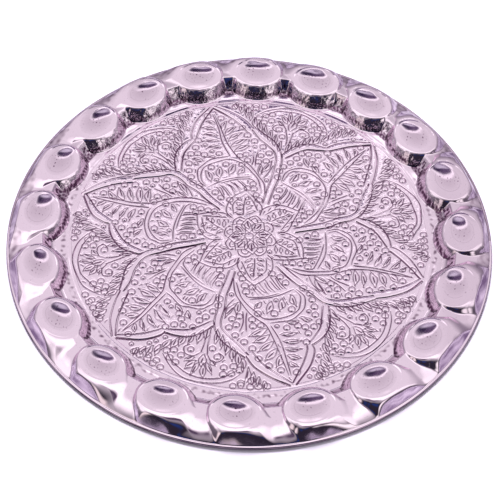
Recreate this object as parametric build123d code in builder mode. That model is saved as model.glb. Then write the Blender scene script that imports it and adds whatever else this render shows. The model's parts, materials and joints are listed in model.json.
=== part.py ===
"""A round chased metal offering plate: one pressed sheet, its edge rolled around a wire.

Millimetres. The origin is the centre of the floor's underside, and +Z points up.
"""

from build123d import *
import os
from math import cos, degrees, radians, tan

# The sheet
plate_radius = 152.4
sheet = 0.5

# The floor, and the ridge that joins the bosses at their necks
floor_radius = 115.0
foot_fillet = 6.0
ridge_radius = 133.0
ridge_width = 3.0
ridge_height = 8.0
ridge_fillet = 1.4

# The bosses: egg-shaped domes pressed up through the rim
boss_count = 20
first_boss = 88.5
boss_drift = 2.1
drift_axis = 17.0
boss_height = 9.8
crown_height = 1.8
cap_depth = 11.8
cap_width = 15.6
inner_draft = 28.0
outer_draft = 43.0
side_draft = 26.0
cap_edge_fillet = 0.8

# The rolled edge, and the wire inside it
wire_radius = 0.5
wire_clearance = 0.03
wire_gap = 1.0
curl_slit = 0.5
curl_proud = 0.25
edge_lift = 0.3

curl_inner = wire_radius + wire_clearance
curl_outer = curl_inner + sheet
curl_radius = plate_radius - curl_outer
curl_height = edge_lift + curl_outer
slope_end_height = curl_height + curl_outer - curl_proud
trim_radius = curl_radius + curl_inner / 2

# The pressed forms run past the sheet by this much before they are trimmed
overrun = 4.0


def boss_places():
    """Where the bosses stand. They are spaced by eye, closer together on one side of the plate."""
    places = []
    for index in range(boss_count):
        even = first_boss + 360 / boss_count * index
        angle = even + boss_drift * cos(radians(even - drift_axis))
        places.append(Rotation(0, 0, angle) * Location((ridge_radius, 0, 0)))
    return places


def boss_form(depth, bottom):
    """One boss as a solid down to bottom, with its surface moved in by depth."""

    def wall_reach(draft, height):
        """How far the wall stands out from the cap's edge at a height."""
        return (boss_height - height) * tan(radians(draft)) - depth / cos(radians(draft))

    dome_radius = (cap_width**2 + crown_height**2) / (2 * crown_height)
    dome_centre = boss_height + crown_height - dome_radius - depth
    with BuildPart() as dome:
        Sphere(dome_radius)
        scale(by=(cap_depth / cap_width, 1, 1))

    with BuildPart() as boss:
        for height in (bottom, boss_height + crown_height):
            inner = cap_depth + wall_reach(inner_draft, height)
            outer = cap_depth + wall_reach(outer_draft, height)
            side = cap_width + wall_reach(side_draft, height)
            with BuildSketch(Plane.XY.offset(height)):
                with Locations(((outer - inner) / 2, 0)):
                    Ellipse((inner + outer) / 2, side)
        loft(ruled=True)
        with Locations((0, 0, dome_centre)):
            add(dome.part, mode=Mode.INTERSECT)
        cap_edge = boss.faces().sort_by(Axis.Z)[-1].edges()
        fillet(cap_edge, cap_edge_fillet)
    return boss.part


def pressed_form(depth, bottom, reach):
    """The space under the sheet's top face moved down by depth: floor, ridge, outer slope and bosses."""
    slope_start = ridge_radius + ridge_width / 2
    slope = (slope_end_height - ridge_height) / (curl_radius - slope_start)
    surface_points = [
        (0, sheet),
        (floor_radius, sheet),
        (ridge_radius - ridge_width / 2, ridge_height),
        (slope_start, ridge_height),
        (curl_radius + reach, slope_end_height + slope * reach),
    ]
    with BuildPart() as form:
        with BuildSketch(Plane.XZ):
            with BuildLine() as section:
                FilletPolyline(*surface_points, radius=[foot_fillet, ridge_fillet, ridge_fillet])
                if depth:
                    offset(amount=depth, side=Side.RIGHT, closed=False)
                start = section.vertices().sort_by(Axis.X)[0]
                end = section.vertices().sort_by(Axis.X)[-1]
                Polyline((start.X, start.Y), (0, bottom), (end.X, bottom), (end.X, end.Y))
            make_face()
        revolve(axis=Axis.Z)
        with Locations(boss_places()):
            add(boss_form(depth, bottom))
    return form.part


top_form = pressed_form(0, -overrun, overrun)
under_form = pressed_form(sheet, -2 * overrun, 2 * overrun)

with BuildPart() as tray_sheet:
    add(top_form)
    add(under_form, mode=Mode.SUBTRACT)
    Cylinder(trim_radius, 2 * (boss_height + crown_height + overrun), mode=Mode.INTERSECT)
    with BuildSketch(Plane.XZ):
        with Locations((curl_radius, curl_height)):
            Circle(curl_outer)
    revolve(axis=Axis.Z)
    with BuildSketch(Plane.XZ):
        with Locations((curl_radius, curl_height)):
            Circle(curl_inner)
            with Locations((-curl_outer, -curl_inner)):
                Rectangle(2 * curl_outer, curl_slit)
    revolve(axis=Axis.Z, mode=Mode.SUBTRACT)

with BuildPart() as edge_wire:
    with BuildSketch(Plane.XZ):
        with Locations((curl_radius, curl_height)):
            Circle(wire_radius)
    revolve(axis=Axis.Z, revolution_arc=360 - degrees(wire_gap / curl_radius))

os.makedirs("parts", exist_ok=True)
for piece, name in ((tray_sheet, "tray_sheet"), (edge_wire, "edge_wire")):
    piece.part.label = name
    export_step(piece.part, f"parts/{name}.step")
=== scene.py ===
"""A polished, chased metal offering plate on a plain white table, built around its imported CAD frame.

Lengths of the plate are millimetres until they are put into a mesh. Bearings are degrees, anticlockwise
from +X. The camera stands on the -Y side, so far means +Y and near means -Y.
"""

import json
import math
import random

import bpy
import numpy as np
from mathutils import Matrix, Vector

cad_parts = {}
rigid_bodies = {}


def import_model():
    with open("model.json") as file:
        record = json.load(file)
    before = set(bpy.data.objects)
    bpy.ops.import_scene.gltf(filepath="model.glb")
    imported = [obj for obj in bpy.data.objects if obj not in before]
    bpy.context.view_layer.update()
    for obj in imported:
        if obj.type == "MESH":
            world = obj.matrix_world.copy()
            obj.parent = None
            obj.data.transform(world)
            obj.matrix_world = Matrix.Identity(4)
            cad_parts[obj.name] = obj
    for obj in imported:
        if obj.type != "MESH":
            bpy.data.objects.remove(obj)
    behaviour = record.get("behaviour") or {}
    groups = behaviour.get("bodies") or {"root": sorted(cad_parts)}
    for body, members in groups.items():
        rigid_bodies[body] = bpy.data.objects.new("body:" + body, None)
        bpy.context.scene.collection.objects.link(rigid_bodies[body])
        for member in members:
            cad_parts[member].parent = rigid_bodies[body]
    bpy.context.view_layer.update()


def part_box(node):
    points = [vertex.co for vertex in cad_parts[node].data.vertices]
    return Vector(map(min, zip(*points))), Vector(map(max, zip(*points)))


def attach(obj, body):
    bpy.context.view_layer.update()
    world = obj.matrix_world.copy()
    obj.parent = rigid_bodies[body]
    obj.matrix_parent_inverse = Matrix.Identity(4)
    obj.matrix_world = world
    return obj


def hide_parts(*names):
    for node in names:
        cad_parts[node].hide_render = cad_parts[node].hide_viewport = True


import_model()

MM = 0.001
_, sheet_high = (np.array(corner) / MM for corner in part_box("tray_sheet"))
wire_low, wire_high = (np.array(corner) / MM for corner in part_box("edge_wire"))

# The rolled edge, from the frame
PLATE_RADIUS = sheet_high[0]
WIRE_RADIUS = (wire_high[2] - wire_low[2]) / 2
CURL_RADIUS = wire_high[0] - WIRE_RADIUS
CURL_HEIGHT = (wire_high[2] + wire_low[2]) / 2
CURL_OUTER = PLATE_RADIUS - CURL_RADIUS
EDGE_HEIGHT = CURL_HEIGHT + CURL_OUTER * 0.9
SLOPE_END = CURL_RADIUS - 0.3 * CURL_OUTER
SHEET_EDGE = CURL_RADIUS - 0.42 * CURL_OUTER

# The sheet without its bosses: a flat floor, the wall up to the ridge, and the outer slope
SHEET = 0.5
RIDGE_RADIUS = 133.0
RIDGE_HEIGHT = 8.0
WALL_STEEPNESS = 1.4
WALL_TOP_RADIUS = 129.0
RIDGE_ROUNDING = 0.6
FOOT_ROUNDING = 3.0
GUTTER_RADIUS = 116.2
GUTTER_WIDTH = 1.2
GUTTER_DEPTH = 0.08
SLOPE_BULGE = 3.2
LEAST_BULGED = 0.15
FRONT_BULGED = 0.6
BULGED_FROM = 0.3
SKIRT_STEEPNESS = 1.65
SKIRT_LIFT = 0.1
SKIRT_ROUNDING = 0.7

# The bosses: how they stand round the plate, and the cap on each
BOSS_COUNT = 20
FIRST_BOSS = 88.5
BOSS_DRIFT = 2.1
DRIFT_AXIS = 17.0
BOSS_REACH = 20.0
VALLEY_ROUNDING = 0.35
VALLEY_SOFTENING = 0.6
CAP_DEPTH = 11.8
CAP_WIDTH = 15.6
CAP_HEIGHT = 9.75
CAP_TILT = 0.73
CAP_CROWN = 1.73
CROWN_DEPTH = 12.0
CROWN_WIDTH = 15.8
CAP_EDGE_RISE = 0.15
CAP_EDGE_WIDTH = 0.035

# How unequal the bosses are: in size, in slant (millimetres aside for each outwards) and in height
BOSS_SIZES = (0.96, 1.03)
BOSS_LEANS = (-0.12, 0.12)
BOSS_LIFTS = (-0.15, 0.12)

# How a boss falls away at some headings round it, where 0 points outwards: the steepness of its side,
# how softly the cap bends into it in millimetres, and how fast it spreads again further out
BOSS_HEADINGS = (-180, -110, -85, -40, -15, 15, 45, 85, 115, 180)
SIDE_STEEPNESS = (2.05, 2.0, 2.3, 2.3, 2.4, 2.3, 0.85, 0.7, 2.0, 2.05)
SIDE_SOFTNESS = (2.4, 1.5, 0.9, 5.0, 11.0, 12.0, 9.0, 5.0, 1.5, 2.4)
SIDE_SPREAD = (0, 0, 0, 0.1, 0.05, 0.05, 0.05, 0, 0, 0)

# The chased floor: its tools' marks, and the pattern's main measures
LINE_WIDTH = 0.45
LINE_DEPTH = 0.6
FINE_LINE = 0.4
RIB_RISE = 0.52
RIB_EDGE_DEPTH = 1.3 * LINE_DEPTH
LEAFLET_RISE = 0.42
BEAD_RADIUS = 2.1
BEAD_RISE = 0.55
BEAD_RING_WIDTH = 0.46
BEAD_RING_DEPTH = 0.85 * LINE_DEPTH
LEAF_COUNT = 6
LEAF_PITCH = 360 / LEAF_COUNT
FIRST_LEAF = 44.6
GROUND_REACH = 109.0
BORDER_RADIUS = 113.6

# The square grid that the chasing is worked out on
GRID_STEP = 0.2
GRID_REACH = 118.0

# Mesh density: columns round the plate, and steps from ring to ring
COLUMNS = 2048
FLOOR_STEP = 0.35
RIM_STEP = 0.3
WIDEST_GAP = 0.36
FLOOR_REACH = 112.0
CURL_OUTSIDE_RINGS = 16
CURL_INSIDE_RINGS = 10


# ---------------------------------------------------------------- shared arithmetic


def band(value, middle, width):
    """1 in the middle of a band, fading softly to 0 on both sides."""
    return np.exp(-(((value - middle) / width) ** 2))


def rise(value, start, length):
    """0 up to start, then climbing to 1 over a length."""
    return np.clip((value - start) / length, 0, 1)


def fall(value, end, length):
    """1, then dropping over a length to 0 at the end."""
    return np.clip((end - value) / length, 0, 1)


def highest(first, *others):
    """The highest of several layers at each point."""
    for other in others:
        first = np.maximum(first, other)
    return first


def higher(first, second, rounding):
    """The higher of two surfaces, with the valley between them rounded."""
    return 0.5 * (first + second + np.sqrt((first - second) ** 2 + rounding**2))


def lower(first, second, rounding):
    """The lower of two surfaces, with the crest between them rounded."""
    return -higher(-first, -second, rounding)


def eased(first, second, reach):
    """The higher of two surfaces, with a soft hollow where they come within reach of each other."""
    share = np.clip(0.5 + 0.5 * (first - second) / reach, 0, 1)
    return second + share * (first - second) + reach * share * (1 - share)


def bearings(x, y):
    """Bearing of each point from the plate's middle."""
    return np.degrees(np.arctan2(y, x))


def dents(x, y, size, seed, waves=18):
    """Gentle hand-beaten unevenness, from about -1 to 1, in dents of about one size."""
    hand = random.Random(seed)
    total = 0 * x
    for _ in range(waves):
        heading = hand.uniform(0, 2 * math.pi)
        pitch = 2 * math.pi / (size * hand.uniform(0.7, 1.5))
        phase = hand.uniform(0, 2 * math.pi)
        total = total + np.cos(pitch * (x * math.cos(heading) + y * math.sin(heading)) + phase)
    return total / math.sqrt(waves)


# ---------------------------------------------------------------- the rim


def bosses():
    """Bearing, size, lean and lift of each boss; they are beaten by eye, and no two are quite the same."""
    hand = random.Random(12)
    found = []
    for k in range(BOSS_COUNT):
        even = FIRST_BOSS + 360 / BOSS_COUNT * k
        bearing = even + BOSS_DRIFT * math.cos(math.radians(even - DRIFT_AXIS))
        size = hand.uniform(*BOSS_SIZES)
        lean = hand.uniform(*BOSS_LEANS)
        lift = hand.uniform(*BOSS_LIFTS)
        found.append((bearing, size, lean, lift))
    return found


def turned_from(bearing, boss):
    """Degrees from a boss's bearing, anticlockwise."""
    return (bearing - boss[0] + 180) % 360 - 180


def boss_plan(radius, bearing, boss):
    """How far points lie outwards and anticlockwise of a boss's middle, in the boss's own measure."""
    _, size, lean, _ = boss
    turn = np.radians(turned_from(bearing, boss))
    outward = (radius * np.cos(turn) - RIDGE_RADIUS) / size
    aside = radius * np.sin(turn) / size
    return outward + lean * aside, aside - lean * outward


def base_height(radius, bearing):
    """The sheet without its bosses: the floor, the wall up to the ridge and the slope down to the curl."""
    down = np.clip((radius - RIDGE_RADIUS) / (SLOPE_END - RIDGE_RADIUS), -0.3, 1)
    nearness = -np.sin(np.radians(bearing))
    bulged = LEAST_BULGED + FRONT_BULGED * np.clip(BULGED_FROM + nearness, 0, 1)
    drop = (1 - bulged) * down + bulged * np.clip(down, 0, 1) ** SLOPE_BULGE
    outer = EDGE_HEIGHT + (RIDGE_HEIGHT - EDGE_HEIGHT) * (1 - drop)
    inner = RIDGE_HEIGHT + WALL_STEEPNESS * (radius - WALL_TOP_RADIUS)
    slopes = lower(inner, outer, RIDGE_ROUNDING)
    gutter = GUTTER_DEPTH * band(radius, GUTTER_RADIUS, GUTTER_WIDTH)
    return eased(slopes, SHEET - gutter, FOOT_ROUNDING)


def boss_height(outward, aside):
    """A boss's surface, from how far a point lies outwards and anticlockwise of its middle."""
    never_zero = 1e-9
    share = np.hypot(outward / CAP_DEPTH, aside / CAP_WIDTH) + never_zero
    beyond = np.hypot(outward, aside) * np.clip(1 - 1 / share, 0, None)
    heading = bearings(outward / CAP_DEPTH, aside / CAP_WIDTH)
    steepness = np.interp(heading, BOSS_HEADINGS, SIDE_STEEPNESS)
    softness = np.interp(heading, BOSS_HEADINGS, SIDE_SOFTNESS)
    spread = np.interp(heading, BOSS_HEADINGS, SIDE_SPREAD)
    tilted = CAP_HEIGHT + CAP_TILT * np.clip(outward / CAP_DEPTH, -1, 1)
    within = np.minimum(1 / share, 1)
    dome = CAP_CROWN * (1 - (within * outward / CROWN_DEPTH) ** 2 - (within * aside / CROWN_WIDTH) ** 2)
    side = steepness * (np.sqrt(beyond**2 + softness**2) - softness) + spread * beyond
    return tilted + dome - side + CAP_EDGE_RISE * band(share, 1.0, CAP_EDGE_WIDTH)


def rim_height(x, y):
    """Height of the sheet's upper face outside the floor."""
    radius = np.hypot(x, y)
    bearing = bearings(x, y)
    height = base_height(radius, bearing)
    for boss in bosses():
        near = np.abs(turned_from(bearing, boss)) < BOSS_REACH
        outward, aside = boss_plan(radius[near], bearing[near], boss)
        rounding = VALLEY_ROUNDING + VALLEY_SOFTENING * rise(outward, 0, 10)
        height[near] = higher(height[near], boss_height(outward, aside) + boss[3], rounding)
    skirt = EDGE_HEIGHT + SKIRT_LIFT + SKIRT_STEEPNESS * (SLOPE_END - radius)
    return lower(height, skirt, SKIRT_ROUNDING)


def cap_share(x, y):
    """How far out on the nearest cap a point lies: 0 in its middle and 1 on its edge."""
    radius = np.hypot(x, y)
    bearing = bearings(x, y)
    share = np.full(x.shape, 9.0)
    for boss in bosses():
        near = np.abs(turned_from(bearing, boss)) < BOSS_REACH
        outward, aside = boss_plan(radius[near], bearing[near], boss)
        share[near] = np.minimum(share[near], np.hypot(outward / CAP_DEPTH, aside / CAP_WIDTH))
    return share


def surface_normals(surface):
    """Upward unit normals of rings of points."""
    along = np.gradient(surface, axis=0)
    around = np.roll(surface, -1, 1) - np.roll(surface, 1, 1)
    normal = np.cross(along, around)
    return normal / np.linalg.norm(normal, axis=-1, keepdims=True)


def curl_rings(columns):
    """The curl round the wire: its outside from the slope to the sheet's end, and back up its inside."""
    meets_slope, sheet_end, meets_underside = 100, -150, 112
    turn = 2 * np.pi * np.arange(columns) / columns
    rings = []
    outside = np.radians(np.linspace(meets_slope, sheet_end, CURL_OUTSIDE_RINGS))
    inside = np.radians(np.linspace(sheet_end, meets_underside, CURL_INSIDE_RINGS))
    for size, angles in ((CURL_OUTER, outside), (CURL_OUTER - SHEET, inside)):
        for angle in angles:
            radius = CURL_RADIUS + size * math.cos(angle)
            height = CURL_HEIGHT + size * math.sin(angle)
            ring = np.stack([radius * np.cos(turn), radius * np.sin(turn), np.full(columns, height)], -1)
            rings.append(ring)
    return rings


def circle(radius, count):
    """Points round a circle, flat on the ground."""
    turn = 2 * np.pi * np.arange(count) / count
    return np.stack([radius * np.cos(turn), radius * np.sin(turn), 0 * turn], -1)


def columns_at(radius, most, gap):
    """How many points a ring needs: most, halved for as long as they stay closer than gap."""
    count = most
    while count > 12 and 2 * math.pi * radius / (count // 2) < gap:
        count //= 2
    return count


# ---------------------------------------------------------------- the chased pattern


def curve(points, step=1.0):
    """A smooth curve through a few points, as closely spaced points."""
    p = np.array([points[0], *points, points[-1]], float)
    p[0] += p[1] - p[2]
    p[-1] += p[-2] - p[-3]
    pieces = []
    for k in range(1, len(p) - 2):
        count = max(2, int(np.linalg.norm(p[k + 1, :2] - p[k, :2]) / step))
        t = np.linspace(0, 1, count, endpoint=False)[:, None]
        before, start, end, after = p[k - 1 : k + 3]
        pull = 0.5 * (end - before)
        push = 0.5 * (after - start)
        turn = 2 * t**3 - 3 * t**2
        leaving = t**3 - 2 * t**2 + t
        arriving = t**3 - t**2
        pieces.append((1 + turn) * start - turn * end + leaving * pull + arriving * push)
    pieces.append(p[-2:-1])
    return np.concatenate(pieces)


class Chasing:
    """The floor's relief on a square grid: what is cut down and what is raised, in millimetres."""

    def __init__(self):
        self.side = int(2 * GRID_REACH / GRID_STEP)
        self.cut = np.zeros((self.side, self.side))
        self.raised = np.zeros((self.side, self.side))
        self.hand = random.Random(7)
        self.bearing = 90.0
        self.wobble = 0.0

    def place(self, bearing, wobble=0.3):
        """Turns the pad so that +v points outwards along a bearing and +u clockwise of it."""
        self.bearing = bearing
        self.wobble = wobble

    def stray(self):
        """How far the tool strays from where it was meant to go."""
        return self.hand.gauss(0, self.wobble)

    def to_plate(self, points):
        """Places points of the turned pad on the plate."""
        points = np.asarray(points, float)
        turn = math.radians(self.bearing)
        x = points[:, 1] * math.cos(turn) + points[:, 0] * math.sin(turn)
        y = points[:, 1] * math.sin(turn) - points[:, 0] * math.cos(turn)
        return np.stack([x, y], 1)

    def window(self, centre, reach):
        """The part of the grid within reach of a point, and the grid's own points there."""
        column, row = ((centre + GRID_REACH) / GRID_STEP).astype(int)
        half = int(reach / GRID_STEP) + 1
        rows = slice(max(row - half, 0), min(row + half, self.side))
        columns = slice(max(column - half, 0), min(column + half, self.side))
        y = (np.arange(rows.start, rows.stop) + 0.5) * GRID_STEP - GRID_REACH
        x = (np.arange(columns.start, columns.stop) + 0.5) * GRID_STEP - GRID_REACH
        return (rows, columns), x[None, :], y[:, None]

    def sweep(self, layer, path, widths, profile):
        """Runs a tool of changing width along a path; profile gives its mark at a distance in widths."""
        for start, end, width in zip(path[:-1], path[1:], widths):
            along = end - start
            length = math.hypot(*along) + 1e-9
            spot, x, y = self.window((start + end) / 2, length / 2 + 2.2 * width)
            ahead = np.clip(((x - start[0]) * along[0] + (y - start[1]) * along[1]) / length**2, 0, 1)
            distance = np.hypot(x - start[0] - ahead * along[0], y - start[1] - ahead * along[1])
            layer[spot] = np.maximum(layer[spot], profile(distance / width))

    def line(self, points, width=LINE_WIDTH, depth=LINE_DEPTH):
        """A traced line through a few points, lighter at its ends."""
        loose = [(u + self.stray(), v + self.stray()) for u, v in points]
        path = self.to_plate(curve(loose))
        ends = np.minimum(np.linspace(0, 1, len(path)), np.linspace(1, 0, len(path)))
        widths = width * np.clip(0.6 + 4 * ends, 0, 1)
        self.sweep(self.cut, path, widths, lambda d: depth * np.exp(-(d**2)))

    def rib(self, points):
        """A raised band between two traced lines, through a few points (u, v, half its width)."""
        loose = [(u + self.stray(), v + self.stray(), half) for u, v, half in points]
        bent = curve(loose)
        path = self.to_plate(bent[:, :2])
        self.sweep(self.raised, path, bent[:, 2] * 1.15, lambda d: RIB_RISE * np.clip(1 - d**2, 0, 1))
        along = np.gradient(path, axis=0)
        across = np.stack([-along[:, 1], along[:, 0]], 1) / np.linalg.norm(along, axis=1, keepdims=True)
        for side in (-1, 1):
            edge = path + side * across * bent[:, 2:]
            widths = np.full(len(edge), LINE_WIDTH * 1.1)
            self.sweep(self.cut, edge, widths, lambda d: RIB_EDGE_DEPTH * np.exp(-(d**2)))

    def bead(self, u, v, radius=BEAD_RADIUS):
        """A bead: a small dome inside a punched ring."""
        radius *= 1 + 0.1 * self.stray()
        centre = self.to_plate([(u + self.stray(), v + self.stray())])[0]
        spot, x, y = self.window(centre, radius + 2)
        distance = np.hypot(x - centre[0], y - centre[1])
        ring = BEAD_RING_DEPTH * band(distance, radius, BEAD_RING_WIDTH)
        self.cut[spot] = np.maximum(self.cut[spot], ring)
        dome = BEAD_RISE * np.clip(1 - (distance / radius) ** 2, 0, 1)
        self.raised[spot] = np.maximum(self.raised[spot], dome)

    def beads(self, spots):
        """Beads of the usual size at several places."""
        for u, v in spots:
            self.bead(u, v)

    def leaflet(self, base, tip, width=3.4, bend=0.0, slit=True):
        """A small pointed leaf with a slit along its middle; bend bows it clockwise."""
        base = np.array(base, float)
        tip = np.array(tip, float) + (self.stray(), self.stray())
        along = tip - base
        across = np.array([along[1], -along[0]]) / np.linalg.norm(along)
        middle = base + 0.55 * along + bend * across
        for side in (-1, 1):
            shoulder = middle + side * across * width / 2
            near_base = base + 0.2 * along + side * across * width * 0.28 + 0.5 * bend * across
            self.line([base, near_base, shoulder, tip], depth=0.9 * LINE_DEPTH)
        if slit:
            start = base + 0.32 * along + 0.75 * bend * across
            end = base + 0.74 * along + 0.75 * bend * across
            self.line([start, end], width=0.6, depth=LINE_DEPTH)
        spine = self.to_plate([base + 0.2 * along, middle, base + 0.8 * along])
        self.sweep(self.raised, spine, [width / 2] * 2, lambda d: LEAFLET_RISE * np.clip(1 - d**2, 0, 1))


def chase_leaf(pad, bearing):
    """One of the six big pointed leaves, with the curl in its lower half."""
    pad.place(bearing)
    pad.rib([(0.7, 111, 1.2), (9.6, 103.5, 2.2), (16.6, 94, 2.7), (20.6, 86, 2.6)])
    pad.rib([
        (22.5, 86.5, 1.5), (27, 79.2, 2.6), (31.3, 71.5, 2.8), (33.6, 64, 2.1), (33.4, 57.2, 2.0),
        (29.3, 49.2, 2.1), (26, 40.7, 2.3), (21.3, 32.8, 2.1), (16.2, 23.8, 1.9),
    ])
    pad.rib([(-1.2, 111, 1.2), (-11, 100.2, 2.3), (-15.6, 91.4, 2.3), (-16.8, 87.2, 1.7)])
    pad.rib([
        (-18, 86, 1.5), (-23.2, 82.6, 2.3), (-28.4, 77.3, 2.6), (-31.2, 70.5, 2.6), (-32.8, 62, 1.9),
    ])

    # The vein, running on as the curl's right side
    pad.line([(-0.3, 105.5), (-0.3, 92), (0.4, 80), (2.6, 68)])
    pad.line([
        (0.3, 105), (1.8, 91), (3.4, 79), (5.6, 68.5), (9, 63), (13.6, 56.4), (17.2, 46.5), (18.7, 38.9),
        (16.9, 29),
    ])

    # The curl and its own vein
    pad.line([
        (2.6, 67), (-1.4, 66.9), (-9.8, 67.2), (-16, 63.7), (-20.3, 60), (-22, 55), (-21.8, 50.6),
        (-18.6, 45.7),
    ])
    pad.line([
        (-17.6, 46.5), (-19.6, 51.2), (-19.2, 56.1), (-16, 61), (-9.8, 64), (-0.8, 64.5), (5.5, 62.3),
        (10.4, 56.1), (13.1, 50.6), (15.5, 43.6), (15.6, 33),
    ])
    pad.line([(-17.6, 45), (-9, 47.6), (0, 48.8), (11.4, 47.2)])
    pad.line([(-8, 46.4), (2, 47), (10.8, 45.2), (13.2, 43.5)])
    pad.leaflet((-14.4, 49), (-15.4, 58.6), 3.6, 0.4)
    pad.leaflet((-8.4, 50.4), (-5.4, 60), 4.0, -0.4)
    pad.leaflet((-1.6, 51), (3.6, 59.4), 4.0, -0.4)
    pad.leaflet((4.4, 50.4), (9.6, 55), 3.0, -0.3)
    pad.beads([(-12, 59.8), (-1.5, 61), (8.2, 58.6)])
    for u in (-13, -9.4, -5.6, -1.6, 2.6):
        pad.line([(u, 45.6 + 0.1 * u), (u + 2.4, 41.5), (u + 4.2, 36.5 + 0.25 * u)])
        pad.line([(u + 1.8, 45 + 0.1 * u), (u + 3.6, 41.8), (u + 5, 38.6 + 0.25 * u)], width=FINE_LINE)
    pad.beads([
        (-13.6, 39.6), (-10.8, 34.4), (-6.6, 31.2), (7.8, 38.4), (11.8, 41.2), (11.6, 36.4), (11.8, 31.6),
        (12.4, 27),
    ])

    # Leaflets on both sides of the vein
    right_tips = ((90, (7.2, 97.6)), (84.6, (12.4, 91.6)), (79.4, (14.6, 85)), (74.4, (16.8, 78.4)),
                  (69.6, (17.4, 72.6)))
    left_tips = ((96, (-6.6, 100)), (91, (-10, 95)), (86, (-11.6, 89)), (81, (-12.8, 83)),
                 (76, (-11.4, 77)))
    for v, tip in right_tips:
        pad.leaflet((2.2 + (90 - v) * 0.15, v), tip, 4.0, -0.8)
    for v, tip in left_tips:
        pad.leaflet((-1.2, v), tip, 3.0, 0.8)
    pad.beads([
        (4.6, 100.4), (11, 96), (15.6, 89.4), (18, 82.4), (21.4, 76.6), (25.6, 70.6), (28, 64),
        (-4.4, 104),
    ])
    pad.beads([(8.6, 66.6), (13.2, 66.4), (13, 61.4), (22.6, 63.2), (20, 58.4), (24.8, 58)])
    pad.beads([
        (-15.4, 84.6), (-18, 79.2), (-13.6, 72), (-22.4, 74.6), (-26.4, 72), (-25.4, 66.6), (-26, 61),
        (-26.6, 55.6),
    ])
    pad.beads([(-25.6, 50.4), (-22.6, 46.4), (-17.6, 73.6)])
    pad.leaflet((-7, 68.6), (-14.6, 68.8), 3.0, 0.5)
    pad.leaflet((-15.4, 66.6), (-22.4, 70), 3.0, 0.5)

    # The sprig in the lower right corner
    pad.line([(14.8, 56.4), (16.8, 61.4), (18.2, 69.4)])
    pad.line([(17, 55), (19, 62.4), (22.6, 68)])
    pad.leaflet((17.8, 47), (20.6, 56), 2.8)
    pad.leaflet((19, 47.6), (28.6, 57.4), 3.2, 0.6)
    pad.line([(19, 44), (24, 47.6), (28, 53)])


def chase_petal(pad, bearing):
    """One of the six round petals between the leaves, filled by a palmette."""
    pad.place(bearing)
    for radius in (29.6, 26.4):
        turns = np.radians(np.linspace(146, 34, 9))
        pad.line([(radius * math.cos(t), 82.4 + radius * math.sin(t)) for t in turns])

    # The palmette: a stem, a bud, two side curls and a fan of leaflets
    pad.line([(1.4, 79), (0.2, 85), (-1.6, 92)])
    pad.line([(3, 79.4), (2.6, 86), (2.8, 91.6)])
    pad.leaflet((0.6, 92), (0.4, 101.4), 5.0)
    for lean, reach in ((-62, 11), (-38, 14), (-15, 15.4), (12, 15.8), (34, 14.6), (58, 12)):
        turn = math.radians(lean)
        near = (0.5 + 5.4 * math.sin(turn), 93 + 5.4 * math.cos(turn))
        far = (0.5 + reach * math.sin(turn), 93 + reach * math.cos(turn))
        pad.leaflet(near, far, 3.4)
    pad.line([(-1.6, 91.6), (-5.4, 95.6), (-10, 94.6), (-11, 90.6), (-8, 88.8)])
    pad.line([(2.8, 91.4), (6.4, 95.4), (11.6, 94.8), (13.6, 90.8), (10.4, 88.4)])
    pad.beads([(-7.8, 91.4), (9.4, 91.6)])

    # Leaflets rising from the outlines of the leaves on both sides
    for side in (-1, 1):
        for step in range(6):
            u = side * (2.2 + 4.0 * step)
            v = 72.5 + 3.6 * step - 0.1 * step**2
            pad.leaflet((u, v), (u + side * (0.8 + 0.5 * step), v + 10.4 - 0.3 * step), 3.4, side * 0.4)
        for step in range(4):
            u = side * (27.2 + 4.0 * step)
            v = 92.8 + 2.2 * step
            pad.leaflet((u, v), (u + side * 1.4, v + 9.6 - 1.0 * step), 3.2, side * 0.4)
        gap_beads = ((13.8, 97.2), (18.4, 94.6), (19.2, 100), (22.6, 96.8), (14.6, 102.4))
        pad.beads([(side * u, v) for u, v in gap_beads])
        for u in (22.4, 27.4, 32.2, 36.6, 41):
            pad.bead(side * u, math.sqrt(110.4**2 - u**2))
        pad.beads([(side * 31.6, 102.4 + 0.8 * side), (side * 26.6, 105)])


def chase_centre(pad):
    """The star in the middle: eight petals, a ring of lobes and six pointed leaves."""
    pad.place(90)
    pad.bead(0, 0, 2.7)
    for k in range(8):
        pad.place(FIRST_LEAF + 10 + 45 * k, 0.2)
        pad.leaflet((0, 3.2), (0.4, 14.2), 8.8)
        pad.leaflet((0, 5.4), (0.4, 11.6), 4.2)
        pad.place(FIRST_LEAF + 32.5 + 45 * k, 0.2)
        pad.line([(-4.4, 13.2), (-3, 15.6), (0, 16.6), (3, 15.6), (4.4, 13.2)])
        pad.line([(-2.2, 11.6), (-1.6, 13.8), (0, 14.4), (1.6, 13.8), (2.2, 11.6)], width=FINE_LINE)
    for k in range(LEAF_COUNT):
        pad.place(FIRST_LEAF + LEAF_PITCH * k - 4.5, 0.25)
        tip = (3.6, 37.6)
        pad.line([(-8.8, 15.6), (-11.4, 20.6), (-9.8, 27.6), (-4.4, 33.6), tip])
        pad.line([tip, (7.6, 31), (11, 22), (9.4, 16)])
        pad.line([(-7.6, 18.4), (-6.6, 27), (-1.4, 31.6), (2.6, 34)])
        pad.line([(3.4, 33.6), (5.8, 28), (8.2, 19)])
        pad.line([(-1, 17.6), (0.4, 24), (2.4, 31)])
        for v in (17.6, 21.4, 25.2, 29):
            pad.leaflet((-1.4 + 0.1 * (v - 18), v), (-5.8 + 0.2 * (v - 18), v + 2.6), 2.2, slit=False)
            pad.leaflet((0.6 + 0.1 * (v - 18), v), (6 - 0.2 * (v - 18), v + 2.2), 2.2, slit=False)
        for v in (17.6, 22, 26.4):
            pad.line([(-8.2 + 0.1 * (v - 18), v), (-9.6 + 0.1 * (v - 18), v + 2.4)], width=FINE_LINE)
            pad.line([(8.8 - 0.2 * (v - 18), v), (10 - 0.3 * (v - 18), v + 2.4)], width=FINE_LINE)


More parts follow.
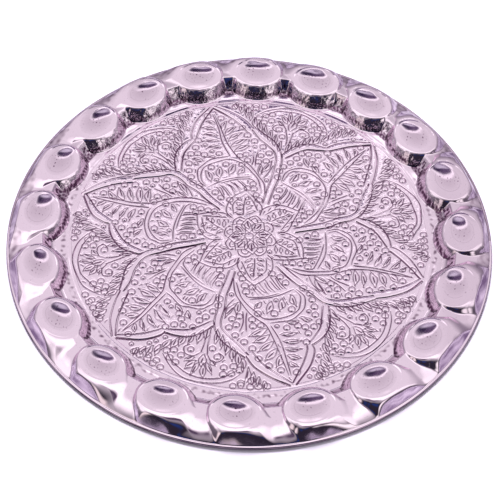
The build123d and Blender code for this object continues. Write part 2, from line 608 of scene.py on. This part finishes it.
def bare(pad, u, v, reach):
    """True if nothing has been cut or raised within reach of a point."""
    centre = pad.to_plate([(u, v)])[0]
    spot, x, y = pad.window(centre, reach)
    near = np.hypot(x - centre[0], y - centre[1]) < reach
    return max((pad.cut[spot] * near).max(), (pad.raised[spot] * near).max()) < 0.12


def fill_ground(pad):
    """Punches beads, then short curved strokes, wherever the ground was left bare."""
    pad.place(90, 0.0)
    bead_sizes = ((2.0, 8000), (1.4, 9000))
    bead_room = 0.35
    for radius, tries in bead_sizes:
        for _ in range(tries):
            turn = pad.hand.uniform(0, 2 * math.pi)
            reach = GROUND_REACH * math.sqrt(pad.hand.uniform(0, 1))
            u, v = reach * math.sin(turn), reach * math.cos(turn)
            if bare(pad, u, v, radius + bead_room):
                pad.bead(u, v, radius)

    stroke_tries = 9000
    half_stroke = 1.3
    room = 0.7
    for _ in range(stroke_tries):
        turn = pad.hand.uniform(0, 2 * math.pi)
        reach = GROUND_REACH * math.sqrt(pad.hand.uniform(0, 1))
        lean = turn + 0.6 * math.sin(6 * turn) + 0.3
        u, v = reach * math.sin(turn), reach * math.cos(turn)
        du, dv = half_stroke * math.sin(lean), half_stroke * math.cos(lean)
        ends = ((u - du, v - dv), (u, v), (u + du, v + dv))
        if all(bare(pad, *end, room) for end in ends):
            bowed = (u + 0.25 * dv, v - 0.25 * du)
            pad.line([ends[0], bowed, ends[2]], width=FINE_LINE)


def chased_floor():
    """The finished relief in millimetres, and its cuts as shares of a full line, both on the grid."""
    pad = Chasing()
    for k in range(LEAF_COUNT):
        chase_leaf(pad, FIRST_LEAF + LEAF_PITCH * k)
        chase_petal(pad, FIRST_LEAF + LEAF_PITCH * k - LEAF_PITCH / 2)
    chase_centre(pad)
    fill_ground(pad)
    turns = np.radians(np.linspace(0, 360, 73))
    pad.place(90, 0.15)
    border = [(BORDER_RADIUS * math.sin(t), BORDER_RADIUS * math.cos(t)) for t in turns]
    pad.line(border, width=FINE_LINE, depth=LINE_DEPTH / 3)
    pushed_up = 0.5 * blur(pad.cut, 1.1)
    return pad.raised - pad.cut + pushed_up, pad.cut / LINE_DEPTH


def blur(grid, spread_mm):
    """A Gaussian blur of a grid."""
    waves = np.fft.fftfreq(grid.shape[0], GRID_STEP)
    fade = np.exp(-2 * (np.pi * spread_mm * waves) ** 2)
    return np.fft.ifft2(np.fft.fft2(grid) * fade[:, None] * fade[None, :]).real


def sample(grid, x, y):
    """Reads a grid between its points."""
    column = np.clip((x + GRID_REACH) / GRID_STEP - 0.5, 0, grid.shape[1] - 1.001)
    row = np.clip((y + GRID_REACH) / GRID_STEP - 0.5, 0, grid.shape[0] - 1.001)
    c = column.astype(int)
    r = row.astype(int)
    fc = column - c
    fr = row - r
    near = grid[r, c] * (1 - fc) + grid[r, c + 1] * fc
    far = grid[r + 1, c] * (1 - fc) + grid[r + 1, c + 1] * fc
    return near * (1 - fr) + far * fr


# ---------------------------------------------------------------- meshes


def bridge(first, first_count, second, second_count):
    """Faces between two rings, numbered from first and second; one may have twice the other's columns."""
    faces = []
    count = min(first_count, second_count)
    step_first = first_count // count
    step_second = second_count // count
    i = np.arange(count)
    a0 = first + i * step_first
    a1 = first + (i + 1) % count * step_first
    b0 = second + i * step_second
    b1 = second + (i + 1) % count * step_second
    if step_first == step_second:
        return [np.stack([a0, b0, b1, a1], 1)]
    if step_second == 2:
        half = b0 + 1
        faces.append(np.stack([a0, b0, half], 1))
        faces.append(np.stack([a0, half, a1], 1))
        faces.append(np.stack([a1, half, b1], 1))
    else:
        half = a0 + 1
        faces.append(np.stack([a0, b0, half], 1))
        faces.append(np.stack([half, b0, b1], 1))
        faces.append(np.stack([half, b1, a1], 1))
    return faces


def closed_mesh(name, rings, first_pole, last_pole):
    """A closed mesh of rings between two poles, wound so that its faces look outwards."""
    counts = [len(ring) for ring in rings]
    starts = np.cumsum([1] + counts)
    points = np.concatenate([[first_pole]] + rings + [[last_pole]])
    faces = []
    i = np.arange(counts[0])
    faces.append(np.stack([0 * i, 1 + i, 1 + (i + 1) % counts[0]], 1))
    for k in range(len(rings) - 1):
        faces += bridge(starts[k], counts[k], starts[k + 1], counts[k + 1])
    i = np.arange(counts[-1])
    last = starts[-1]
    faces.append(np.stack([starts[-2] + i, 0 * i + last, starts[-2] + (i + 1) % counts[-1]], 1))

    sizes = np.concatenate([np.full(len(f), f.shape[1]) for f in faces])
    corners = np.concatenate([f.ravel() for f in faces])
    mesh = bpy.data.meshes.new(name)
    mesh.vertices.add(len(points))
    mesh.vertices.foreach_set("co", (points * MM).astype(np.float32).ravel())
    mesh.loops.add(len(corners))
    mesh.loops.foreach_set("vertex_index", corners.astype(np.int32))
    mesh.polygons.add(len(sizes))
    mesh.polygons.foreach_set("loop_start", (np.cumsum(sizes) - sizes).astype(np.int32))
    mesh.update(calc_edges=True)
    mesh.shade_smooth()
    piece = bpy.data.objects.new(name, mesh)
    bpy.context.scene.collection.objects.link(piece)
    return piece


def floor_waves(x, y):
    """How far the floor is from flat, in soft waves."""
    return 0.05 * dents(x, y, 26, 3)


def floor_rings(relief):
    """The floor's upper face, ring by ring."""
    rings = []
    for radius in np.arange(FLOOR_STEP, FLOOR_REACH, FLOOR_STEP):
        ring = circle(radius, columns_at(radius, COLUMNS, WIDEST_GAP))
        x, y = ring[:, 0], ring[:, 1]
        ring[:, 2] = SHEET + sample(relief, x, y) + floor_waves(x, y)
        rings.append(ring)
    return rings


def rim_rings(relief):
    """The rim's upper face as an array of rings, and how hammered its inner wall is at each point."""
    radii = np.append(np.arange(FLOOR_REACH, SHEET_EDGE, RIM_STEP), SHEET_EDGE)
    rim = np.array([circle(radius, COLUMNS) for radius in radii])
    x, y = rim[:, :, 0], rim[:, :, 1]
    radius = np.hypot(x, y)
    height = rim_height(x, y)

    steep = np.clip(np.abs(np.gradient(height, axis=0)) / RIM_STEP - 0.6, 0, 0.6)
    inner_wall = fall(radius, RIDGE_RADIUS - 3, 3)
    hammered = steep * inner_wall * np.clip(0.35 + (y - 20) / 90, 0.35, 1)
    outer_slope = rise(radius, RIDGE_RADIUS + 6, 6)
    small_dents = 0.012 * dents(x, y, 8, 1)
    broad_dents = 0.05 * dents(x, y, 20, 2)
    wall_dents = 0.22 * hammered * dents(x, y, 4.2, 4)
    slope_dents = 0.1 * outer_slope * dents(x, y, 12, 9)
    uneven = small_dents + broad_dents + wall_dents + slope_dents

    # The dents fade out where the rim meets the floor and the curl
    hold = rise(radius, FLOOR_REACH, 6) * fall(radius, SHEET_EDGE, 4)
    rim[:, :, 2] = height + hold * uneven + sample(relief, x, y) + (1 - hold) * floor_waves(x, y)
    return rim, hammered


def rim_painted_shade_and_specks(x, y):
    """How much painted shade the rim gets, from 0 to 1: in the gutter, the recesses and at the bosses'
    feet, darkest in the caps' middles, on the outer slope and on the right side; the caps also get real
    dark specks.
    """
    radius = np.hypot(x, y)
    share = cap_share(x, y)
    speckle = dents(x, y, 1.8, 5)
    far = rise(y, 40, 40)

    # Painted shade in the gutter round the floor, and on the wall between the bosses everywhere but at the
    # front
    gutter = band(radius, 117.0, 3.0) * (0.54 + 0.16 * dents(x, y, 4, 6)) * (1 - 0.7 * far)
    between = rise(share, 1.25, 0.2)
    recess = np.clip(1 - np.abs(radius - 122.5) / 3.5, 0, 1) * between * rise(y, -30, 60)
    recess = np.clip(2 * recess, 0, 1) * (0.78 + 0.1 * speckle)

    # Painted shade at the foot of each boss inside the ridge
    foot = band(share, 1.36, 0.1) * (radius < 128) * (0.9 + 0.3 * speckle) * (1 - 0.25 * far)

    # The caps: painted shade, darkest in the middle, with real dark specks, and a broken darker arc round
    # it
    fade = np.clip(1 - (share / 0.8) ** 2, 0, 1)
    cap_shade_and_specks = (fade > 0) * (0.455 + fade * (0.11 + 0.6 * rise(speckle, 1.25, 1)))
    arc = 0.57 * band(share, 0.62, 0.05) * (np.sin(np.arctan2(y, x) * 7) > -0.6)

    # Painted shade on the outer slope, but not at the very front, and on the right side
    outside = rise(radius, 138, 5) * rise(share, 1.1, 0.2)
    outside *= rise(y, -70, 50) * (0.54 + 0.09 * dents(x, y, 5, 8))
    right_side = 0.5 * rise(x, 40, 80)

    return np.clip(highest(gutter, recess, foot, cap_shade_and_specks, arc, outside, right_side), 0, 1)


def curl_painted_shade(curl):
    """How much painted shade each ring of the curl gets: its low face all round, and all of it on the far
    side.
    """
    shades = []
    for k, ring in enumerate(curl):
        low_face = 0.66 * rise(k, 0.5, 2.5)
        shades.append(np.maximum(low_face, 0.64 * (ring[:, 1] > 0)))
    return shades


def under_rings(rim, relief):
    """The underside from the curl in to the middle, in half as many columns."""
    under_rim = (rim - SHEET * surface_normals(rim))[::-2, ::2]
    under_rim[:, :, 2] = np.clip(under_rim[:, :, 2], 0, None)
    shown_through = np.clip(0.12 + 0.7 * blur(relief, 0.7), 0, None)
    under_floor = []
    for radius in np.arange(FLOOR_REACH - 2, 1, -2 * FLOOR_STEP):
        ring = circle(radius, columns_at(radius, COLUMNS // 2, 2 * WIDEST_GAP))
        inside = min((FLOOR_REACH - radius) / 8, 1)
        ring[:, 2] = sample(shown_through, ring[:, 0], ring[:, 1]) * inside
        under_floor.append(ring)
    return list(under_rim) + under_floor


def store(mesh, name, values):
    """Keeps one number per point in a mesh, for its material."""
    attribute = mesh.attributes.new(name, "FLOAT", "POINT")
    attribute.data.foreach_set("value", values.astype(np.float32))


def tray():
    """The whole sheet as one closed mesh: floor, rim and curl above, and the same again underneath."""
    relief, tarnish_and_painted_shade = chased_floor()
    floor = floor_rings(relief)
    rim, hammered = rim_rings(relief)
    curl = curl_rings(COLUMNS)
    below = under_rings(rim, relief)
    above = floor + list(rim)
    rings = above + curl + below
    piece = closed_mesh("tray", rings, (0, 0, SHEET), (0, 0, 0))

    x, y = rim[:, :, 0], rim[:, :, 1]
    # Darkening at each point: the chased lines are tarnished, which also stands in for their shade; the
    # rim and curl get painted shade, with real specks on the caps; none underneath
    shade_and_tarnish_per_ring = [sample(tarnish_and_painted_shade, ring[:, 0], ring[:, 1]) for ring in floor]
    shade_and_tarnish_per_ring += list(np.maximum(sample(tarnish_and_painted_shade, x, y), rim_painted_shade_and_specks(x, y)))
    shade_and_tarnish_per_ring += curl_painted_shade(curl)
    shade_and_tarnish_per_ring += [np.zeros(len(ring)) for ring in below]
    shade = np.concatenate([[0], *shade_and_tarnish_per_ring, [0]])
    store(piece.data, "tarnish_and_painted_shade", shade)

    floor_points = 1 + sum(len(ring) for ring in floor)
    wall = np.zeros(len(shade))
    wall[:floor_points] = 0.3
    wall[floor_points : floor_points + hammered.size] = np.clip(hammered * 1.7, 0, 1).ravel()
    store(piece.data, "hammered", wall)
    lay_out(piece.data, rings, len(above) + CURL_OUTSIDE_RINGS)
    return piece


def lay_out(mesh, rings, split):
    """Spreads the top and the underside as two separate discs in a texture layout, for baking."""
    top_middle, top_reach = 0.42, 0.41
    below_middle, below_reach = 0.86, 0.135
    spare = 1.02
    layer = mesh.uv_layers.new(name="OFBake")
    heights = [ring[:, 2].mean() for ring in rings]
    radii = [np.hypot(ring[:, 0], ring[:, 1]).mean() for ring in rings]
    steps = np.hypot(np.diff(radii, prepend=0), np.diff(heights, prepend=SHEET))
    from_top = np.cumsum(steps)
    from_below = from_top[-1] + radii[-1] - from_top
    widest_top = from_top[split - 1] * spare
    widest_below = from_below[split - 1] * spare
    places = [np.array([[top_middle, top_middle]])]
    for k, ring in enumerate(rings):
        turn = np.arctan2(ring[:, 1], ring[:, 0])
        heading = np.stack([np.cos(turn), np.sin(turn)], 1)
        if k < split:
            places.append(top_middle + top_reach * from_top[k] / widest_top * heading)
        else:
            places.append(below_middle + below_reach * from_below[k] / widest_below * heading)
    places.append(np.array([[below_middle, below_middle]]))
    places = np.concatenate(places)

    # Faces that join the two discs are shrunk to a point, so that they don't cross the layout
    last_above = sum(len(ring) for ring in rings[:split])
    corners = np.empty(len(mesh.loops), np.int32)
    mesh.loops.foreach_get("vertex_index", corners)
    spots = places[corners]
    corner_counts = np.empty(len(mesh.polygons), np.int32)
    mesh.polygons.foreach_get("loop_total", corner_counts)
    face_of = np.repeat(np.arange(len(corner_counts)), corner_counts)
    below = (corners > last_above).astype(int)
    share_below = np.bincount(face_of, below) / np.bincount(face_of)
    straddling = (share_below > 0) & (share_below < 1)
    spots[straddling[face_of]] = places[last_above]
    layer.data.foreach_set("uv", spots.astype(np.float32).ravel())


# ---------------------------------------------------------------- materials


def node_material(name):
    """A new material, with its nodes and links."""
    material = bpy.data.materials.new(name)
    material.use_nodes = True
    return material, material.node_tree.nodes, material.node_tree.links


def noise(nodes, links, size, detail=3.0):
    """Soft random patches of about a size in millimetres, from 0 to 1."""
    where = nodes.new("ShaderNodeTexCoord")
    texture = nodes.new("ShaderNodeTexNoise")
    texture.inputs["Scale"].default_value = 1 / (size * MM)
    texture.inputs["Detail"].default_value = detail
    links.new(where.outputs["Object"], texture.inputs["Vector"])
    return texture.outputs["Fac"]


def remap(nodes, links, value, low, high, to_low, to_high):
    """Stretches a range of values onto another range."""
    node = nodes.new("ShaderNodeMapRange")
    for slot, number in zip(("From Min", "From Max", "To Min", "To Max"), (low, high, to_low, to_high)):
        node.inputs[slot].default_value = number
    links.new(value, node.inputs["Value"])
    return node.outputs["Result"]


def blend(nodes, links, share, first, second):
    """Mixes two colours; each is a colour or another node's output."""
    node = nodes.new("ShaderNodeMix")
    node.data_type = "RGBA"
    for slot, colour in ((6, first), (7, second)):
        if isinstance(colour, tuple):
            node.inputs[slot].default_value = (*colour, 1)
        else:
            links.new(colour, node.inputs[slot])
    links.new(share, node.inputs["Factor"])
    return node.outputs[2]


def point_value(nodes, name):
    """A number that the mesh keeps at each point."""
    node = nodes.new("ShaderNodeAttribute")
    node.attribute_name = name
    return node.outputs["Fac"]


def polished_metal():
    """Polished nickel silver with a pinkish cast, a little soiled, darker where the chased lines are
    tarnished, a darkening that also stands in for their shade, and with painted shade on the rim and curl.
    """
    pink_silver = (0.86, 0.695, 0.83)
    duller_silver = (0.80, 0.645, 0.775)
    soil = (0.30, 0.22, 0.28)
    tarnish_and_painted_shade = (0.10, 0.035, 0.09)
    material, nodes, links = node_material("nickel_silver")
    surface = nodes["Principled BSDF"]
    surface.inputs["Metallic"].default_value = 1.0

    # The stored value darkens the metal towards one dark colour: tarnished chased lines that also stand in
    # for their shade, and painted shade on the rim and curl
    dark = remap(nodes, links, point_value(nodes, "tarnish_and_painted_shade"), 0.44, 0.84, 0, 0.97)
    clean = blend(nodes, links, noise(nodes, links, 30), pink_silver, duller_silver)
    specks = remap(nodes, links, noise(nodes, links, 1.2, 6), 0.62, 0.75, 0, 0.35)
    soiled = blend(nodes, links, specks, clean, soil)
    colour = blend(nodes, links, dark, soiled, tarnish_and_painted_shade)
    links.new(colour, surface.inputs["Base Color"])

    bump = nodes.new("ShaderNodeBump")
    bump.inputs["Distance"].default_value = 0.35 * MM
    links.new(point_value(nodes, "hammered"), bump.inputs["Strength"])
    links.new(noise(nodes, links, 2.2, 3), bump.inputs["Height"])
    links.new(bump.outputs["Normal"], surface.inputs["Normal"])

    rough = remap(nodes, links, noise(nodes, links, 6, 4), 0.3, 0.7, 0.05, 0.11)
    links.new(rough, surface.inputs["Roughness"])
    return material


# ---------------------------------------------------------------- table, light and camera


def table():
    """A plain white table; where the metal mirrors it, a painted reflection makes it darker and patchy."""
    side_metres = 6
    just_under = -0.3 * MM
    white = (0.82, 0.75, 0.90)
    mirrored_dark = (0.14, 0.10, 0.18)
    mirrored_pale = (0.60, 0.56, 0.66)
    bpy.ops.mesh.primitive_plane_add(size=side_metres, location=(0, 0, just_under))
    board = bpy.context.object
    board.name = "table"
    material, nodes, links = node_material("white_table")
    # What glossy rays see of the table is a painted reflection: dark and pale patches instead of the white
    # top
    rays = nodes.new("ShaderNodeLightPath")
    patches = remap(nodes, links, noise(nodes, links, 22), 0.38, 0.62, 0, 1)
    mirrored = blend(nodes, links, patches, mirrored_dark, mirrored_pale)
    colour = blend(nodes, links, rays.outputs["Is Glossy Ray"], white, mirrored)
    links.new(colour, nodes["Principled BSDF"].inputs["Base Color"])
    nodes["Principled BSDF"].inputs["Roughness"].default_value = 0.9
    board.data.materials.append(material)


def along_view(nodes, links, where, axis):
    """How far a direction of view points along an axis."""
    node = nodes.new("ShaderNodeVectorMath")
    node.operation = "DOT_PRODUCT"
    node.inputs[1].default_value = axis
    links.new(where, node.inputs[0])
    return node.outputs["Value"]


def panel(nodes, links, behind, heading, height, width, tall, colour, softness):
    """A soft-edged oval panel far out in a direction, over what is behind it.

    Its width and how tall it is are half angles in degrees.
    """
    turn = math.radians(heading)
    lift = math.radians(height)
    towards = (math.cos(lift) * math.cos(turn), math.cos(lift) * math.sin(turn), math.sin(lift))
    sideways = (-math.sin(turn), math.cos(turn), 0)
    upwards = (-math.sin(lift) * math.cos(turn), -math.sin(lift) * math.sin(turn), math.cos(lift))
    where = nodes.new("ShaderNodeTexCoord").outputs["Generated"]

    flat = nodes.new("ShaderNodeCombineXYZ")
    for slot, axis, size in (("X", sideways, width), ("Y", upwards, tall)):
        in_sizes = tuple(a / math.sin(math.radians(size)) for a in axis)
        links.new(along_view(nodes, links, where, in_sizes), flat.inputs[slot])
    from_middle = nodes.new("ShaderNodeVectorMath")
    from_middle.operation = "LENGTH"
    links.new(flat.outputs["Vector"], from_middle.inputs[0])
    cover = remap(nodes, links, from_middle.outputs["Value"], 1 + softness, 1 - softness, 0, 1)

    facing = nodes.new("ShaderNodeMath")
    facing.operation = "GREATER_THAN"
    facing.inputs[1].default_value = 0
    links.new(along_view(nodes, links, where, towards), facing.inputs[0])
    share = nodes.new("ShaderNodeMath")
    share.operation = "MULTIPLY"
    links.new(cover, share.inputs[0])
    links.new(facing.outputs["Value"], share.inputs[1])
    return blend(nodes, links, share.outputs["Value"], behind, colour)


def studio():
    """A pale tent of light: bright overhead, with white and dark panels that the metal reflects."""
    horizon = (0.28, 0.24, 0.30)
    overhead = (0.93, 0.91, 0.93)
    backdrop = (0.9, 0.88, 0.9)
    panels = (
        # heading, height, half width, half height, colour, softness
        # The ceiling card, and the dark room in front of the plate
        (-90, 76, 64, 22, (1.5, 1.5, 1.48), 0.2),
        (-90, 11, 84, 40, (0.03, 0.025, 0.04), 0.33),
        # White cards low at the left and right
        (-170, 30, 20, 12, (1.3, 1.3, 1.28), 0.4),
        (-10, 30, 20, 12, (1.3, 1.3, 1.28), 0.4),
        # A dim shape and two blue ones in the dark room
        (-88, 60, 20, 9, (0.10, 0.07, 0.12), 0.5),
        (-84, 30, 11, 5, (0.02, 0.045, 0.18), 0.4),
        (-112, 26, 7, 5, (0.02, 0.04, 0.14), 0.4),
        # White, warm and low lights in the dark room
        (-48, 14, 12, 9, (1.3, 1.3, 1.25), 0.4),
        (-135, 14, 8, 13, (1.05, 0.98, 0.92), 0.4),
        (-95, -2, 5, 3, (0.7, 0.65, 0.6), 0.4),
        # The bright-ringed window behind the plate, darker on one side and paler at its foot
        (90, 41.3, 11, 10.7, (1.7, 1.7, 1.7), 0.08),
        (90, 40.4, 9.2, 7.8, (0.16, 0.11, 0.21), 0.08),
        (97, 40.5, 4.2, 5.5, (0.045, 0.03, 0.08), 0.6),
        (90, 37.2, 6.0, 2.4, (0.85, 0.83, 0.95), 0.4),
    )
    world = bpy.data.worlds.new("studio")
    world.use_nodes = True
    bpy.context.scene.world = world
    nodes, links = world.node_tree.nodes, world.node_tree.links
    where = nodes.new("ShaderNodeTexCoord")
    apart = nodes.new("ShaderNodeSeparateXYZ")
    links.new(where.outputs["Generated"], apart.inputs["Vector"])
    height = remap(nodes, links, apart.outputs["Z"], 0.0, 0.6, 0, 1)
    sky = blend(nodes, links, height, horizon, overhead)
    for heading, lift, wide, tall, colour, softness in panels:
        sky = panel(nodes, links, sky, heading, lift, wide, tall, colour, softness)

    # The camera sees a plain backdrop, and matt surfaces get half the light that mirrors see
    rays = nodes.new("ShaderNodeLightPath")
    seen = blend(nodes, links, rays.outputs["Is Camera Ray"], sky, backdrop)
    links.new(seen, nodes["Background"].inputs["Color"])
    strength = remap(nodes, links, rays.outputs["Is Diffuse Ray"], 0, 1, 1.0, 0.5)
    links.new(strength, nodes["Background"].inputs["Strength"])


def window_light():
    """Soft light that falls from behind the plate; the metal doesn't mirror it."""
    data = bpy.data.lights.new("window_light", "SUN")
    data.energy = 5.0
    softness = math.radians(24)
    data.angle = softness
    light = bpy.data.objects.new("window_light", data)
    tipped_forward = math.radians(-40)
    tipped_aside = math.radians(-8)
    light.rotation_euler = (tipped_forward, tipped_aside, 0)
    light.visible_glossy = False
    bpy.context.scene.collection.objects.link(light)


def camera():
    """Looks down on the plate from the front, a little turned about its own axis."""
    rise = math.radians(53.585)
    roll = math.radians(1.73)
    distance = 902.4
    aim = Vector((0.46, -11.09, SHEET))
    back = Vector((0, -math.cos(rise), math.sin(rise)))
    right = Vector((1, 0, 0))
    up = back.cross(right)
    tilted_right = math.cos(roll) * right + math.sin(roll) * up
    tilted_up = math.cos(roll) * up - math.sin(roll) * right
    data = bpy.data.cameras.new("camera")
    data.sensor_width = 36
    data.lens = 103.7
    viewer = bpy.data.objects.new("camera", data)
    axes = Matrix((tilted_right, tilted_up, back)).transposed().to_4x4()
    viewer.matrix_world = Matrix.Translation((aim + back * distance) * MM) @ axes
    bpy.context.scene.collection.objects.link(viewer)
    bpy.context.scene.camera = viewer


# ---------------------------------------------------------------- the scene

tray_piece = tray()
tray_piece.data.materials.append(polished_metal())
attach(tray_piece, "root")
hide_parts("tray_sheet")

# The wire is the frame's own, in the tray's metal
for obj in bpy.context.scene.objects:
    if obj.name.startswith("edge_wire"):
        obj.data.materials.clear()
        obj.data.materials.append(tray_piece.data.materials[0])

table()
studio()
window_light()
camera()
bpy.context.scene.view_settings.view_transform = "Standard"
